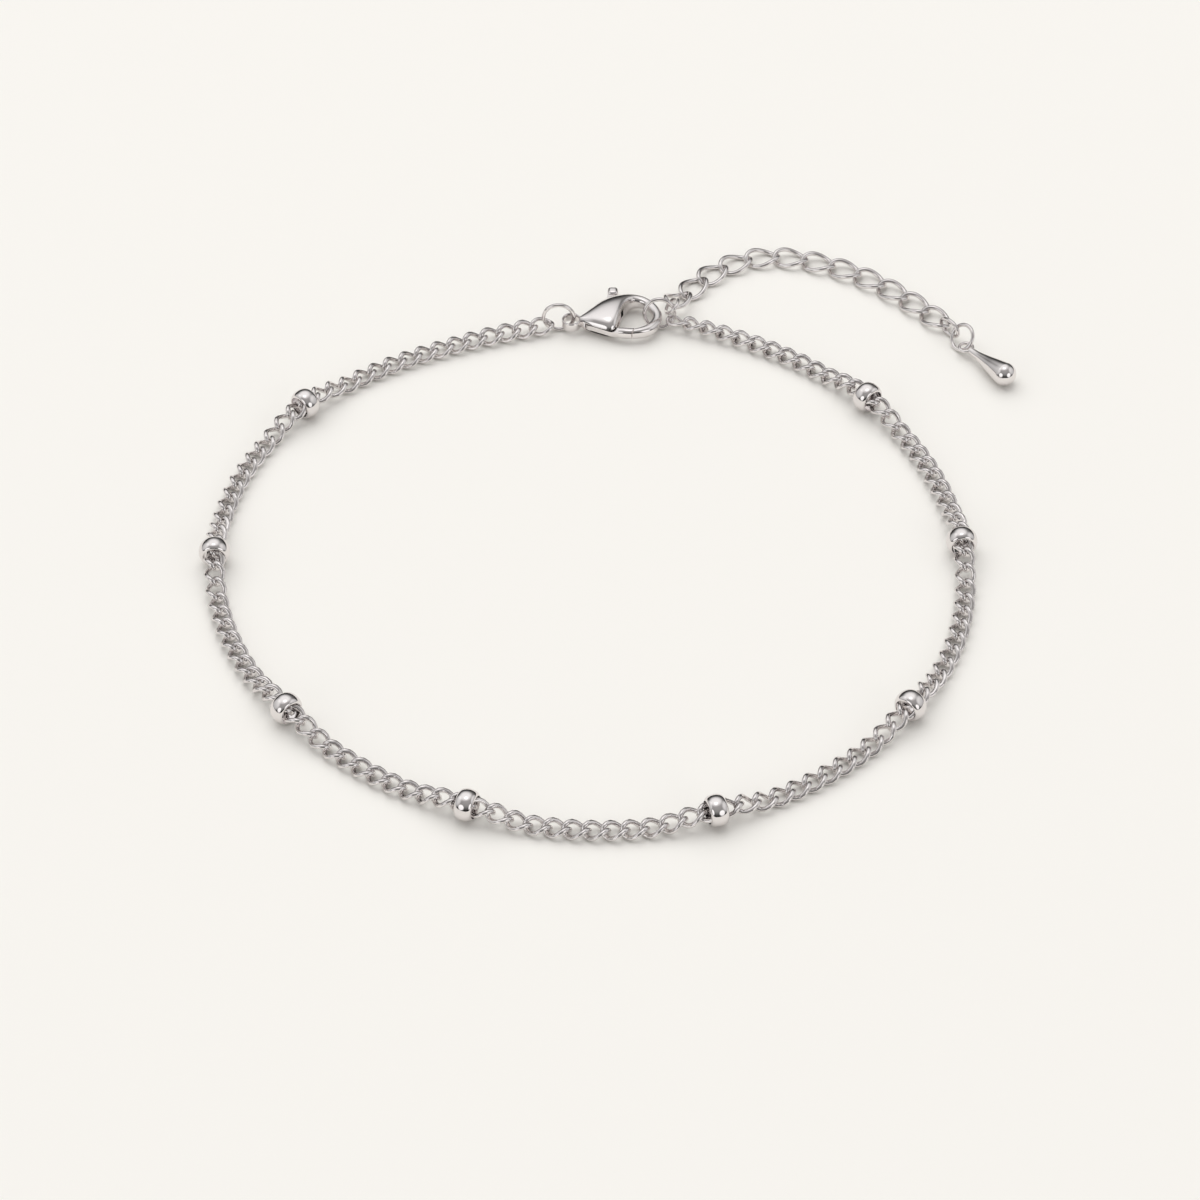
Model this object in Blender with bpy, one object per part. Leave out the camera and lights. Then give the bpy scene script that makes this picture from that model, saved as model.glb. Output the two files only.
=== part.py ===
"""Beaded anklet with a lobster clasp and an extender chain, in metres, +Z up.

It lies on its side on the floor, z = 0. The chain runs round the ankle's place from the clasp's ring
on the left to the end ring on the right, which the clasp is hooked into.
"""
import math

import bmesh
import bpy
from mathutils import Vector
from mathutils.geometry import interpolate_bezier

# Clearances
TOUCH_GAP = 0.0003        # between two pieces that rest against each other
PIN_GAP = 0.0001          # round the lever's pivot pin
SLOT_GAP = 0.00015        # above and below the lever in its slot
SEAM_GAP = 0.00015        # between the gate and the tip of the hook

# Fine chain: its middle length is one tube of the chain's thickness, and its end links are links
CHAIN_THICKNESS = 0.0017
CHAIN_RISE_LENGTH = 0.0055
CHAIN_SPAN_STEPS = 7
CHAIN_LINK_LENGTH = 0.0029
CHAIN_LINK_WIDTH = 0.00215
CHAIN_WIRE = 0.00038
CHAIN_TWIST_DEG = -45
FLOOR_GAP = 0.00005       # under the chain, which the beads hold

# Beads
BEAD_RADIUS = 0.0016
BEAD_WIDTH = 0.0018
BEAD_SIDES = 16
BEAD_ARC_STEPS = 8

# Jump rings
RING_LENGTH = 0.0036
RING_WIRE = 0.00034
CONNECTOR_LENGTH = 0.0030
CONNECTOR_WIDTH = 0.0022
TAIL_RING_LENGTH = 0.0032
TAIL_RING_WIDTH = 0.0023
DROP_RING_LENGTH = 0.0031

# Extender chain
EXTENDER_LINKS = 12
EXTENDER_LINK_LENGTH = 0.0041
EXTENDER_LINK_WIDTH = 0.0030
EXTENDER_WIRE = 0.00038
EXTENDER_SLACK = 0.00024  # how far two links can still be drawn apart
EXTENDER_PITCH = EXTENDER_LINK_LENGTH - 2 * EXTENDER_WIRE - EXTENDER_SLACK
EXTENDER_TWIST_DEG = -40

# Corners of a round wire and of the loop that it follows, and the least corner that stays sharp
WIRE_RESOLUTION = 1
LINK_SIDES = 16
RING_SIDES = 16
SHARP_CORNER_DEG = 40

# Lobster clasp
CLASP_LENGTH = 0.00975    # middle of the eye to the round end of the hook
CLASP_WIDTH = 0.0065
CLASP_THICKNESS = 0.00245
CLASP_MIDDLE_Z = 0.0011
SECTION_SIDES = 12
SECTION_SQUARENESS = 2.4
EYE_RADIUS = 0.00105
EYE_WALL = 0.00025
EYE_HEIGHT = 0.0011
EYE_SIDES = 20
LEVER_THICKNESS = 0.0006
PIN_RADIUS = 0.00035
PIN_SIDES = 24
PIVOT_X = 0.0021
PIVOT_Y = -0.00035
HUB_WALL = 0.0002
HUB_START_DEG = 120       # the hub's round back, from the thumb arm to the gate arm
HUB_TURN_DEG = 150
HUB_STEPS = 6
TAB_X = 0.451             # middle of the thumb tab as shares of the clasp's length and width
TAB_Y = 0.720
TAB_HEIGHT = 0.0012
TAB_WIDTH = 0.0009
TAB_LENGTH = 0.00115
TAB_ROUNDING = 0.00018
TAB_ROUNDING_STEPS = 2

# Teardrop
DROP_LENGTH = 0.0082
DROP_RADIUS = 0.00128
DROP_SIDES = 14
DROP_CAP_STEPS = 6
DROP_EYE_LENGTH = 0.0018
DROP_EYE_WIRE = 0.00036
DROP_EYE_WIRE_SIDES = 8
SAME_POINT = 0.000001     # points nearer than this are one

# Middle of the clasp's eye, and the end of its hook, which the end ring and all behind it keep to
CLASP_PLACE = Vector((-0.00305, 0.04095, 0.0))
HOOK_X = CLASP_PLACE.x + CLASP_LENGTH

# Route of the chain from the clasp's ring round to the end ring: a place on the floor in metres,
# and the direction in which the chain runs there in degrees. Each place between the ends has a bead.
CHAIN_ROUTE = [
    {"x": -0.0048, "y": 0.0409, "heading": -166},
    {"x": -0.0308, "y": 0.0275, "heading": -132},
    {"x": -0.0388, "y": 0.0053, "heading": -89},
    {"x": -0.0304, "y": -0.0164, "heading": -50},
    {"x": -0.0126, "y": -0.0290, "heading": -21},
    {"x": 0.0110, "y": -0.0297, "heading": 18.5},
    {"x": 0.0301, "y": -0.0160, "heading": 53},
    {"x": 0.0365, "y": 0.0068, "heading": 95},
    {"x": 0.0280, "y": 0.0285, "heading": 129.5},
    {"x": HOOK_X + 0.0003, "y": 0.0415, "heading": 165},
]
ROUTE_HANDLE = 0.35       # length of a route's handles as a share of the stretch between two places

# Route of the extender's links, from the connector ring to the free end
EXTENDER_ROUTE = [
    {"x": HOOK_X + 0.0006, "y": 0.0430, "heading": 60},
    {"x": HOOK_X + 0.0089, "y": 0.0517, "heading": 22},
    {"x": HOOK_X + 0.0173, "y": 0.0513, "heading": -20},
    {"x": HOOK_X + 0.0305, "y": 0.0408, "heading": -49},
]

# Where the loose pieces lie: middle in metres, heading, dip and roll in degrees. The tail's pieces
# keep to the extender's last link: ahead of its middle and to the left, and turned from its heading.
LAY = {
    "chain_link_left": {"z": 0.0009, "dip": -4, "roll": -29},
    "chain_link_right": {"z": 0.00092, "dip": 9, "roll": 27},
    "clasp_ring": {"x": -0.00442, "y": 0.04095, "z": 0.00182, "heading": 0, "dip": 0, "roll": 87},
    "end_ring": {"x": HOOK_X - 0.00034, "y": 0.04161, "z": 0.00175, "heading": 0, "dip": 0, "roll": 70},
    "connector_ring": {
        "x": HOOK_X + 0.00103, "y": 0.0426, "z": 0.002, "heading": 100, "dip": -25, "roll": 136,
    },
    "extender_first": {"z": 0.00109, "dip": -18, "roll": -4.5},
}
TAIL = {
    "tail_ring": {"ahead": 0.002508, "left": -0.000434, "z": 0.0012, "turn": -5.6, "dip": 14, "roll": 93},
    "drop_ring": {"ahead": 0.004618, "left": -0.000663, "z": 0.00131, "turn": 6.4, "dip": 16.5, "roll": 51},
    "drop": {"ahead": 0.00568, "left": -0.001124, "z": 0.00085, "turn": -3.6, "dip": 4.5, "roll": 0},
}

# Sections of the clasp from its tail round to the tip of the hook, as shares of its length,
# width and thickness: the ends of each section on the opening's side and on the outer side
CLASP_SECTIONS = [
    {"in_x": 0.090, "in_y": -0.046, "out_x": 0.090, "out_y": 0.058, "thick": 0.45},
    {"in_x": 0.138, "in_y": -0.100, "out_x": 0.149, "out_y": 0.146, "thick": 0.61},
    {"in_x": 0.221, "in_y": -0.177, "out_x": 0.236, "out_y": 0.292, "thick": 0.80},
    {"in_x": 0.318, "in_y": -0.246, "out_x": 0.338, "out_y": 0.454, "thick": 0.94},
    {"in_x": 0.415, "in_y": -0.292, "out_x": 0.451, "out_y": 0.562, "thick": 1.00},
    {"in_x": 0.484, "in_y": -0.238, "out_x": 0.544, "out_y": 0.612, "thick": 0.96},
    {"in_x": 0.513, "in_y": -0.046, "out_x": 0.610, "out_y": 0.626, "thick": 0.86},
    {"in_x": 0.538, "in_y": 0.138, "out_x": 0.667, "out_y": 0.625, "thick": 0.75},
    {"in_x": 0.579, "in_y": 0.292, "out_x": 0.718, "out_y": 0.612, "thick": 0.65},
    {"in_x": 0.636, "in_y": 0.392, "out_x": 0.769, "out_y": 0.588, "thick": 0.57},
    {"in_x": 0.718, "in_y": 0.423, "out_x": 0.831, "out_y": 0.538, "thick": 0.51},
    {"in_x": 0.795, "in_y": 0.377, "out_x": 0.903, "out_y": 0.446, "thick": 0.45},
    {"in_x": 0.856, "in_y": 0.269, "out_x": 0.964, "out_y": 0.308, "thick": 0.42},
    {"in_x": 0.886, "in_y": 0.131, "out_x": 1.000, "out_y": 0.131, "thick": 0.41},
    {"in_x": 0.869, "in_y": -0.008, "out_x": 0.979, "out_y": -0.046, "thick": 0.42},
    {"in_x": 0.815, "in_y": -0.123, "out_x": 0.918, "out_y": -0.223, "thick": 0.45},
    {"in_x": 0.754, "in_y": -0.192, "out_x": 0.815, "out_y": -0.323, "thick": 0.47},
    {"in_x": 0.713, "in_y": -0.223, "out_x": 0.667, "out_y": -0.366, "thick": 0.45},
]

# Sections of the gate from the lever's arm to the seam, as the same shares
GATE_SECTIONS = [
    {"in_x": 0.523, "in_y": -0.190, "out_x": 0.515, "out_y": -0.338, "thick": 0.40},
    {"in_x": 0.574, "in_y": -0.208, "out_x": 0.569, "out_y": -0.354, "thick": 0.45},
    {"in_x": 0.636, "in_y": -0.217, "out_x": 0.615, "out_y": -0.362, "thick": 0.45},
    {"in_x": 0.713, "in_y": -0.223, "out_x": 0.667, "out_y": -0.366, "thick": 0.45},
]

# Corners of the lever's plate from its hub along the gate arm and back along the thumb arm,
# and of the slot that it moves in, as the same shares
LEVER_CORNERS = [
    {"x": 0.313, "y": -0.222},
    {"x": 0.420, "y": -0.297},
    {"x": 0.545, "y": -0.337},
    {"x": 0.545, "y": -0.210},
    {"x": 0.440, "y": -0.162},
    {"x": 0.338, "y": -0.046},
    {"x": 0.318, "y": 0.077},
    {"x": 0.451, "y": 0.462},
    {"x": 0.497, "y": 0.570},
    {"x": 0.497, "y": 0.720},
    {"x": 0.405, "y": 0.720},
    {"x": 0.385, "y": 0.540},
]
SLOT_CORNERS = [
    {"x": 0.138, "y": -0.50},
    {"x": 0.636, "y": -0.50},
    {"x": 0.636, "y": 0.06},
    {"x": 0.544, "y": 0.34},
    {"x": 0.544, "y": 0.80},
    {"x": 0.138, "y": 0.80},
]

# Section through the wall of the clasp's eye, as shares of the wall's thickness and the eye's height
EYE_SECTION = [
    {"wall": 0.0, "height": -0.36},
    {"wall": 0.35, "height": -0.5},
    {"wall": 1.0, "height": -0.36},
    {"wall": 1.0, "height": 0.36},
    {"wall": 0.35, "height": 0.5},
    {"wall": 0.0, "height": 0.36},
]

# Radius of the teardrop from its neck to its bulb, as shares of that length and of the bulb's radius
DROP_SECTIONS = [
    {"along": 0.0, "radius": 0.30},
    {"along": 0.2, "radius": 0.36},
    {"along": 0.45, "radius": 0.55},
    {"along": 0.7, "radius": 0.78},
    {"along": 0.9, "radius": 0.94},
]

SILVER = (0.80, 0.78, 0.77, 1.0)


def remove_old_objects():
    for obj in list(bpy.data.objects):
        bpy.data.objects.remove(obj, do_unlink=True)


def polished_metal(name):
    material = bpy.data.materials.new(name)
    material.use_nodes = True
    shader = material.node_tree.nodes["Principled BSDF"]
    shader.inputs["Base Color"].default_value = SILVER
    shader.inputs["Metallic"].default_value = 1.0
    shader.inputs["Roughness"].default_value = 0.15
    return material


def add_piece(name, data, root):
    """A visible piece with its own metal, placed in the anklet."""
    data.materials.clear()
    data.materials.append(polished_metal(name))
    piece = bpy.data.objects.new(name, data)
    bpy.context.scene.collection.objects.link(piece)
    piece.parent = root
    return piece


def add_tool(name, mesh, root, place):
    """A shape that is only added to or cut from a piece."""
    tool = bpy.data.objects.new(name, mesh)
    bpy.context.scene.collection.objects.link(tool)
    tool.parent = root
    tool.location = place
    tool.hide_render = True
    tool.display_type = "WIRE"
    return tool


def combine(piece, tool, operation):
    modifier = piece.modifiers.new(tool.name, "BOOLEAN")
    modifier.operation = operation
    modifier.object = tool
    modifier.solver = "EXACT"


def lay(piece, place, heading, dip, roll):
    """Roll about the piece's own length, then raise its front end, then turn it to its heading."""
    piece.location = place
    piece.rotation_euler = (math.radians(roll), math.radians(-dip), math.radians(heading))


def lay_by_table(piece, row):
    lay(piece, (row["x"], row["y"], row["z"]), row["heading"], row["dip"], row["roll"])


def lay_in_tail(piece, row):
    """Lays a piece by its offset from the middle and the heading of the extender's last link."""
    place, ahead = extender_link_place(EXTENDER_LINKS - 1)
    left = Vector((-ahead.y, ahead.x, 0))
    place = place + ahead * row["ahead"] + left * row["left"]
    heading = math.degrees(math.atan2(ahead.y, ahead.x)) + row["turn"]
    lay(piece, (place.x, place.y, row["z"]), heading, row["dip"], row["roll"])


def finished_mesh(name, bm):
    bmesh.ops.recalc_face_normals(bm, faces=bm.faces)
    mesh = bpy.data.meshes.new(name)
    bm.to_mesh(mesh)
    bm.free()
    mesh.shade_smooth()
    mesh.set_sharp_from_angle(angle=math.radians(SHARP_CORNER_DEG))
    return mesh


def wire_loop(name, length, width, wire, twist_deg, sides):
    """An oval loop of round wire, its two ends turned opposite ways by the twist."""
    curve = bpy.data.curves.new(name, "CURVE")
    curve.dimensions = "3D"
    curve.bevel_depth = wire / 2
    curve.bevel_resolution = WIRE_RESOLUTION
    spline = curve.splines.new("POLY")
    spline.points.add(sides - 1)
    spline.use_cyclic_u = True
    for step, point in enumerate(spline.points):
        angle = math.tau * step / sides
        twist = math.radians(twist_deg) * math.cos(angle)
        across = (width - wire) / 2 * math.sin(angle)
        x = (length - wire) / 2 * math.cos(angle)
        point.co = (x, across * math.cos(twist), across * math.sin(twist), 1)
    return curve


def stretch_of_route(start, end, samples=60):
    """A smooth curve over the floor from one place of a route to the next."""
    a = Vector((start["x"], start["y"], 0))
    b = Vector((end["x"], end["y"], 0))
    reach = (b - a).length * ROUTE_HANDLE
    leave = Vector((math.cos(math.radians(start["heading"])), math.sin(math.radians(start["heading"])), 0))
    arrive = Vector((math.cos(math.radians(end["heading"])), math.sin(math.radians(end["heading"])), 0))
    return interpolate_bezier(a, a + leave * reach, b - arrive * reach, b, samples)


def whole_route(route):
    points = []
    for start, end in zip(route, route[1:]):
        points += stretch_of_route(start, end)[len(points) > 0:]
    return points


def length_of(points):
    return sum((b - a).length for a, b in zip(points, points[1:]))


def point_at(points, distance):
    """The point at a distance along a row of points, and the direction there."""
    for a, b in zip(points, points[1:]):
        step = (b - a).length
        if distance <= step or b is points[-1]:
            return a + (b - a) * (distance / step), (b - a).normalized()
        distance -= step


def chain_height(distance_to_bead):
    """The chain lies on the floor and climbs to the middle of each bead."""
    lying = CHAIN_THICKNESS / 2 + FLOOR_GAP
    flat_part = BEAD_WIDTH / 2 + TOUCH_GAP
    share = min(1.0, max(0.0, (distance_to_bead - flat_part) / CHAIN_RISE_LENGTH))
    return lying + (BEAD_RADIUS - lying) * (1 + math.cos(math.pi * share)) / 2


def build_chain(root):
    """The tube between the two end links, threaded through every bead."""
    bead_side = BEAD_WIDTH / 2 + TOUCH_GAP
    link_side = CHAIN_LINK_LENGTH + TOUCH_GAP
    last = len(CHAIN_ROUTE) - 2
    places = []
    for number, (start, end) in enumerate(zip(CHAIN_ROUTE, CHAIN_ROUTE[1:])):
        stretch = stretch_of_route(start, end)
        whole = length_of(stretch)
        first = link_side if number == 0 else bead_side
        final = link_side if number == last else bead_side
        for step in range(CHAIN_SPAN_STEPS + 1):
            distance = first + (whole - first - final) * step / CHAIN_SPAN_STEPS
            from_start = distance if number > 0 else whole
            from_end = whole - distance if number < last else whole
            place = point_at(stretch, distance)[0]
            place.z = chain_height(min(from_start, from_end))
            places.append(place)
    curve = bpy.data.curves.new("chain", "CURVE")
    curve.dimensions = "3D"
    curve.bevel_depth = CHAIN_THICKNESS / 2
    curve.bevel_resolution = 2
    curve.use_fill_caps = True
    spline = curve.splines.new("POLY")
    spline.points.add(len(places) - 1)
    for point, place in zip(spline.points, places):
        point.co = (*place, 1)
    add_piece("chain", curve, root)


def build_chain_ends(root):
    """The first and last links, which the jump rings pass through."""
    points = whole_route(CHAIN_ROUTE)
    halfway = CHAIN_LINK_LENGTH / 2
    for name, distance in (("chain_link_left", halfway), ("chain_link_right", length_of(points) - halfway)):
        curve = wire_loop(name, CHAIN_LINK_LENGTH, CHAIN_LINK_WIDTH, CHAIN_WIRE, CHAIN_TWIST_DEG, LINK_SIDES)
        place, ahead = point_at(points, distance)
        row = LAY[name]
        heading = math.degrees(math.atan2(ahead.y, ahead.x))
        lay(add_piece(name, curve, root), (place.x, place.y, row["z"]), heading, row["dip"], row["roll"])


def build_beads(root):
    """Open round beads: a bore for the chain and a rounded outer face, standing on the floor."""
    bore = CHAIN_THICKNESS / 2 + TOUCH_GAP
    bm = bmesh.new()
    profile = []
    for step in range(BEAD_ARC_STEPS + 1):
        angle = math.pi * step / BEAD_ARC_STEPS
        x = -BEAD_WIDTH / 2 * math.cos(angle)
        profile.append(bm.verts.new((x, 0, bore + (BEAD_RADIUS - bore) * math.sin(angle))))
    edges = [bm.edges.new(pair) for pair in zip(profile, profile[1:] + profile[:1])]
    bmesh.ops.spin(bm, geom=profile + edges, cent=(0, 0, 0), axis=(1, 0, 0), angle=math.tau,
                   steps=BEAD_SIDES, use_merge=True)
    mesh = finished_mesh("bead", bm)
    for number, row in enumerate(CHAIN_ROUTE[1:-1], start=1):
        bead = add_piece(f"bead_{number}", mesh.copy(), root)
        lay(bead, (row["x"], row["y"], BEAD_RADIUS), row["heading"], 0, 0)


def extender_link_place(number):
    return point_at(whole_route(EXTENDER_ROUTE), EXTENDER_LINK_LENGTH / 2 + EXTENDER_PITCH * number)


def build_extender(root):
    """Twisted open links one pitch apart along the extender's route, the first one lifted to its ring."""
    for number in range(EXTENDER_LINKS):
        name = f"extender_link_{number + 1:02d}"
        curve = wire_loop(name, EXTENDER_LINK_LENGTH, EXTENDER_LINK_WIDTH, EXTENDER_WIRE,
                          EXTENDER_TWIST_DEG, LINK_SIDES)
        rest_z = EXTENDER_WIRE / 2 + max(point.co.z for point in curve.splines[0].points)
        place, ahead = extender_link_place(number)
        heading = math.degrees(math.atan2(ahead.y, ahead.x))
        row = LAY["extender_first"] if number == 0 else {"z": rest_z, "dip": 0, "roll": 0}
        lay(add_piece(name, curve, root), (place.x, place.y, row["z"]), heading, row["dip"], row["roll"])


def build_rings(root):
    sizes = {
        "clasp_ring": (RING_LENGTH, RING_LENGTH),
        "end_ring": (RING_LENGTH, RING_LENGTH),
        "connector_ring": (CONNECTOR_LENGTH, CONNECTOR_WIDTH),
        "tail_ring": (TAIL_RING_LENGTH, TAIL_RING_WIDTH),
        "drop_ring": (DROP_RING_LENGTH, DROP_RING_LENGTH),
    }
    for name, (length, width) in sizes.items():
        ring = add_piece(name, wire_loop(name, length, width, RING_WIRE, 0, RING_SIDES), root)
        if name in TAIL:
            lay_in_tail(ring, TAIL[name])
        else:
            lay_by_table(ring, LAY[name])


def on_clasp(x_share, y_share):
    return Vector((x_share * CLASP_LENGTH, y_share * CLASP_WIDTH, CLASP_MIDDLE_Z))


def loft(bm, sections, pull_back=0.0):
    """A closed bar through flattened round sections. The last one can be pulled back along the bar."""
    rings = []
    for number, row in enumerate(sections):
        inner = on_clasp(row["in_x"], row["in_y"])
        outer = on_clasp(row["out_x"], row["out_y"])
        if number == len(sections) - 1:
            inner.x -= pull_back
            outer.x -= pull_back
        across = (outer - inner) / 2
        up = Vector((0, 0, row["thick"] * CLASP_THICKNESS / 2))
        ring = bmesh.ops.create_circle(bm, segments=SECTION_SIDES, radius=1)["verts"]
        for vert in ring:
            a = math.copysign(abs(vert.co.x) ** (2 / SECTION_SQUARENESS), vert.co.x)
            b = math.copysign(abs(vert.co.y) ** (2 / SECTION_SQUARENESS), vert.co.y)
            vert.co = (inner + outer) / 2 + across * a + up * b
        rings.append([edge for edge in {e for v in ring for e in v.link_edges}])
    for first, second in zip(rings, rings[1:]):
        bmesh.ops.bridge_loops(bm, edges=first + second)
    for ring in (rings[0], rings[-1]):
        bmesh.ops.contextual_create(bm, geom=ring)


def cylinder(name, radius, height, z):
    bm = bmesh.new()
    bmesh.ops.create_cone(bm, cap_ends=True, segments=PIN_SIDES, radius1=radius, radius2=radius, depth=height)
    bmesh.ops.translate(bm, vec=(0, 0, z), verts=bm.verts)
    return finished_mesh(name, bm)


def slab(name, corners, thickness, origin=Vector()):
    """A flat plate at the clasp's mid height, drawn by its corners."""
    bm = bmesh.new()
    low = Vector((0, 0, -thickness / 2))
    face = bm.faces.new([bm.verts.new(corner - origin + low) for corner in corners])
    top = bmesh.ops.extrude_face_region(bm, geom=[face])["geom"]
    raised = [item for item in top if isinstance(item, bmesh.types.BMVert)]
    bmesh.ops.translate(bm, vec=(0, 0, thickness), verts=raised)
    return finished_mesh(name, bm)


def build_clasp_body(root):
    """Teardrop body and hook in one, with its eye, and a slot for the lever cut round the pivot pin."""
    bm = bmesh.new()
    loft(bm, CLASP_SECTIONS)
    everything = bm.verts[:] + bm.edges[:] + bm.faces[:]
    bmesh.ops.recalc_face_normals(bm, faces=bm.faces)
    bmesh.ops.bisect_plane(bm, geom=everything, plane_co=(0, 0, 0), plane_no=(0, 0, -1), clear_outer=True)
    bmesh.ops.holes_fill(bm, edges=[edge for edge in bm.edges if edge.is_boundary])
    body = add_piece("clasp_body", finished_mesh("clasp_body", bm), root)
    body.location = CLASP_PLACE

    bm = bmesh.new()
    profile = []
    for row in EYE_SECTION:
        radius = EYE_RADIUS - EYE_WALL * (1 - row["wall"])
        profile.append(bm.verts.new((radius, 0, CLASP_MIDDLE_Z + EYE_HEIGHT * row["height"])))
    edges = [bm.edges.new(pair) for pair in zip(profile, profile[1:] + profile[:1])]
    bmesh.ops.spin(bm, geom=profile + edges, cent=(0, 0, 0), axis=(0, 0, 1), angle=math.tau,
                   steps=EYE_SIDES, use_merge=True)
    eye = add_tool("clasp_eye", finished_mesh("clasp_eye", bm), root, CLASP_PLACE)
    combine(body, eye, "UNION")

    slot_height = LEVER_THICKNESS + 2 * SLOT_GAP
    corners = [on_clasp(row["x"], row["y"]) for row in SLOT_CORNERS]
    slot = add_tool("lever_slot", slab("lever_slot", corners, slot_height), root, CLASP_PLACE)
    pin_mesh = cylinder("pivot_pin", PIN_RADIUS, 2 * slot_height, CLASP_MIDDLE_Z)
    pin = add_tool("pivot_pin", pin_mesh, root, CLASP_PLACE + Vector((PIVOT_X, PIVOT_Y, 0)))
    combine(slot, pin, "DIFFERENCE")
    combine(body, slot, "DIFFERENCE")


def build_clasp_lever(root):
    """Flat lever on the pin: its gate closes the hook, its thumb tab stands out of the spine."""
    pivot = Vector((PIVOT_X, PIVOT_Y, 0))
    hub_radius = PIN_RADIUS + PIN_GAP + HUB_WALL
    hub = []
    for step in range(HUB_STEPS + 1):
        angle = math.radians(HUB_START_DEG + HUB_TURN_DEG * step / HUB_STEPS)
        hub.append(pivot + Vector((math.cos(angle), math.sin(angle), 0)) * hub_radius)
        hub[-1].z = CLASP_MIDDLE_Z
    corners = hub + [on_clasp(row["x"], row["y"]) for row in LEVER_CORNERS]
    lever = add_piece("clasp_lever", slab("clasp_lever", corners, LEVER_THICKNESS, pivot), root)
    lever.location = CLASP_PLACE + pivot

    bm = bmesh.new()
    loft(bm, GATE_SECTIONS, pull_back=SEAM_GAP)
    gate = add_tool("gate", finished_mesh("gate", bm), root, CLASP_PLACE)
    combine(lever, gate, "UNION")

    bm = bmesh.new()
    bmesh.ops.create_cube(bm, size=1)
    bmesh.ops.scale(bm, vec=(TAB_WIDTH, TAB_LENGTH, TAB_HEIGHT), verts=bm.verts)
    bmesh.ops.bevel(bm, geom=bm.edges[:], offset=TAB_ROUNDING, segments=TAB_ROUNDING_STEPS, profile=0.5,
                    affect="EDGES", material=-1)
    thumb = on_clasp(TAB_X, TAB_Y)
    tab = add_tool("thumb_tab", finished_mesh("thumb_tab", bm), root, CLASP_PLACE + thumb)
    combine(lever, tab, "UNION")

    bore_mesh = cylinder("lever_bore", PIN_RADIUS + PIN_GAP, 2 * LEVER_THICKNESS, CLASP_MIDDLE_Z)
    bore = add_tool("lever_bore", bore_mesh, root, CLASP_PLACE + pivot)
    combine(lever, bore, "DIFFERENCE")


def build_drop(root):
    """Solid teardrop: a small eye, a slim neck and a round bulb, turned about its own length."""
    eye_radius = (DROP_EYE_LENGTH - DROP_EYE_WIRE) / 2
    neck_x = eye_radius
    bulb_x = DROP_LENGTH - DROP_EYE_LENGTH / 2 - DROP_RADIUS
    bm = bmesh.new()
    outline = [(neck_x, 0.0)]
    for row in DROP_SECTIONS:
        outline.append((neck_x + (bulb_x - neck_x) * row["along"], DROP_RADIUS * row["radius"]))
    for step in range(DROP_CAP_STEPS + 1):
        angle = math.pi / 2 * step / DROP_CAP_STEPS
        outline.append((bulb_x + DROP_RADIUS * math.sin(angle), DROP_RADIUS * math.cos(angle)))
    profile = [bm.verts.new((x, 0, radius)) for x, radius in outline]
    edges = [bm.edges.new(pair) for pair in zip(profile, profile[1:])]
    bmesh.ops.spin(bm, geom=profile + edges, cent=(0, 0, 0), axis=(1, 0, 0), angle=math.tau,
                   steps=DROP_SIDES, use_merge=True)
    bmesh.ops.remove_doubles(bm, verts=bm.verts, dist=SAME_POINT)
    drop = add_piece("drop", finished_mesh("drop", bm), root)
    lay_in_tail(drop, TAIL["drop"])

    bm = bmesh.new()
    bmesh.ops.create_circle(bm, segments=DROP_EYE_WIRE_SIDES, radius=DROP_EYE_WIRE / 2)
    bmesh.ops.rotate(bm, cent=(0, 0, 0), matrix=quarter_turn_about_x(), verts=bm.verts)
    bmesh.ops.translate(bm, vec=(eye_radius, 0, 0), verts=bm.verts)
    bmesh.ops.spin(bm, geom=bm.verts[:] + bm.edges[:], cent=(0, 0, 0), axis=(0, 0, 1), angle=math.tau,
                   steps=LINK_SIDES, use_merge=True)
    eye = add_tool("drop_eye", finished_mesh("drop_eye", bm), root, (0, 0, 0))
    lay_in_tail(eye, TAIL["drop"])
    combine(drop, eye, "UNION")


def quarter_turn_about_x():
    return Vector((0, 0, 1)).rotation_difference(Vector((0, 1, 0))).to_matrix()


def stand_over_origin(root):
    """Moves the whole anklet so that the middle of its outline is over the origin."""
    bpy.context.view_layer.update()
    seen = bpy.context.evaluated_depsgraph_get()
    points = []
    for obj in root.children:
        if not obj.hide_render:
            mesh = obj.evaluated_get(seen).to_mesh()
            points += [obj.matrix_world @ vert.co for vert in mesh.vertices]
    for axis in (0, 1):
        values = [point[axis] for point in points]
        root.location[axis] = -(min(values) + max(values)) / 2


remove_old_objects()
anklet = bpy.data.objects.new("anklet", None)
bpy.context.scene.collection.objects.link(anklet)
build_chain(anklet)
build_chain_ends(anklet)
build_beads(anklet)
build_rings(anklet)
build_extender(anklet)
build_clasp_body(anklet)
build_clasp_lever(anklet)
build_drop(anklet)
stand_over_origin(anklet)
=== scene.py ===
import math

import bmesh
import bpy
from mathutils import Euler, Matrix, Vector
from mathutils.geometry import interpolate_bezier


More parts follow.
